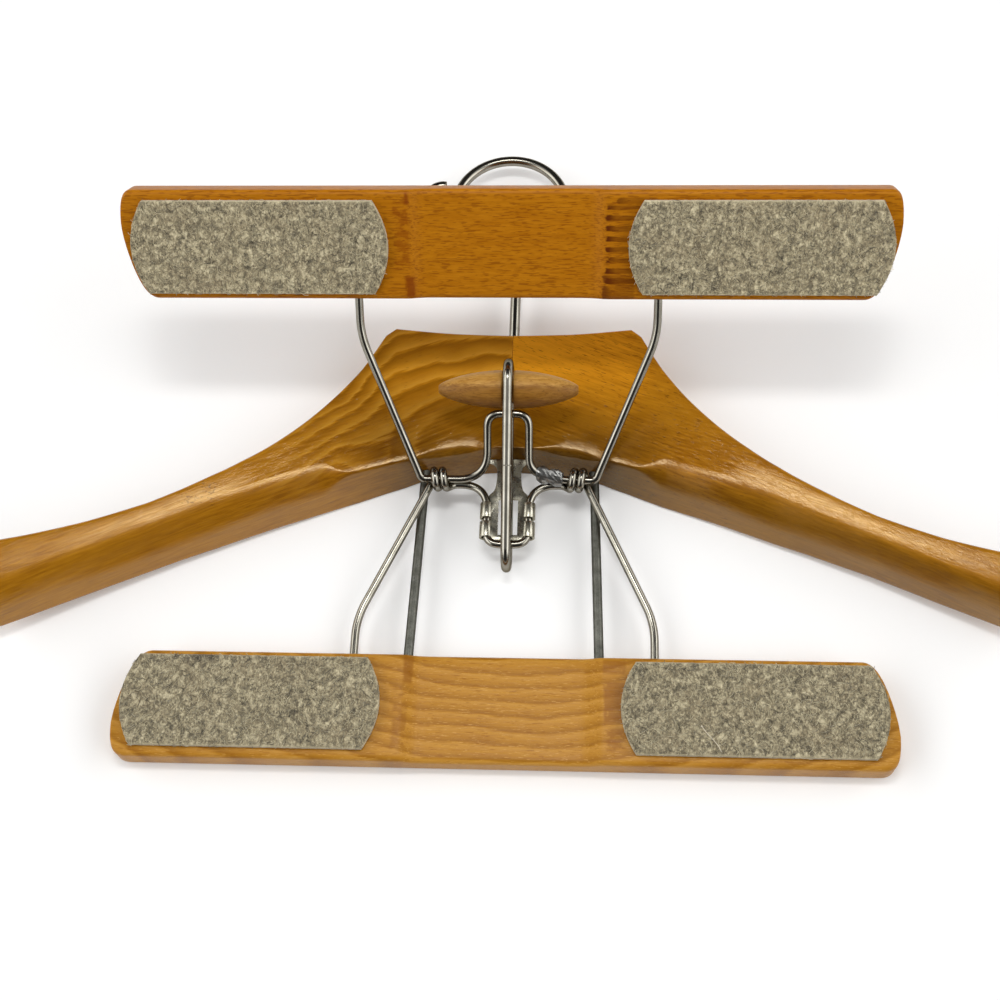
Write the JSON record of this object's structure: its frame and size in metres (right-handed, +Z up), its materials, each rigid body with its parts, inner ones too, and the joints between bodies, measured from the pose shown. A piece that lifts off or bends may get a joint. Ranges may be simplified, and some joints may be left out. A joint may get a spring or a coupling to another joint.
{
  "type": "suit hanger with trouser clamp",
  "caption": "Contoured wooden suit hanger with a swivelling wire hook and a folding felt-lined trouser clamp on sprung wire frames, locked by a wire ring with a turned wooden toggle",
  "frame": {"origin": "Middle of the part's outline on the surface that it lies on, back down, clamp open", "axes": "+X along the shoulders, +Y towards the hook, +Z up, out of the front of the hanger"},
  "size_m": [0.45, 0.2982, 0.1035],
  "materials": {
    "body_wood": "glossy amber varnish",
    "bar_wood": "satin amber varnish",
    "pale_wood": "semi-matte turned wood",
    "felt": "mottled grey wool felt",
    "nickel_wire": "bright nickel plate",
    "zinc_wire": "dull zinc plate",
    "sheet_nickel": "worn nickel on sheet steel"
  },
  "bodies": {
    "hanger": {"body_left_half": "body_wood", "body_right_half": "body_wood", "lower_dowel": "pale_wood", "upper_dowel": "pale_wood", "bracket": "sheet_nickel", "left_leg": "zinc_wire", "right_leg": "zinc_wire", "left_bracket_nail": "zinc_wire", "right_bracket_nail": "zinc_wire", "rear_frame": "nickel_wire", "rear_bar": "bar_wood", "rear_left_pad": "felt", "rear_right_pad": "felt"},
    "hook": {"hook": "nickel_wire", "hook_collar": "zinc_wire"},
    "front_jaw": {"front_main_wire": "nickel_wire", "front_right_wire": "nickel_wire", "ferrule": "sheet_nickel", "front_bar": "bar_wood", "front_left_pad": "felt", "front_right_pad": "felt"},
    "lock": {"locking_ring": "nickel_wire"},
    "olive": {"toggle_olive": "pale_wood"}
  },
  "joints": [
    {"name": "hook_swivel", "type": "hinge", "parent": "hanger", "child": "hook", "pos_m": [0, 0.046, 0.00925], "axis": [0, 1, 0], "continuous": true},
    {"name": "jaw_hinge", "type": "hinge", "parent": "hanger", "child": "front_jaw", "pos_m": [0, -0.02615, 0.0159], "axis": [1, 0, 0], "range_deg": [0, 133]},
    {"name": "ring_swing", "type": "hinge", "parent": "hanger", "child": "lock", "pos_m": [0, -0.05475, 0.01215], "axis": [1, 0, 0], "range_deg": [0, 66.5]},
    {"name": "olive_spin", "type": "hinge", "parent": "lock", "child": "olive", "pos_m": [0, 0.00551, 0.03833], "axis": [1, 0, 0], "continuous": true}
  ],
  "couplings": [
    {"joint": "ring_swing", "follows": "jaw_hinge", "ratio": 0.5}
  ]
}
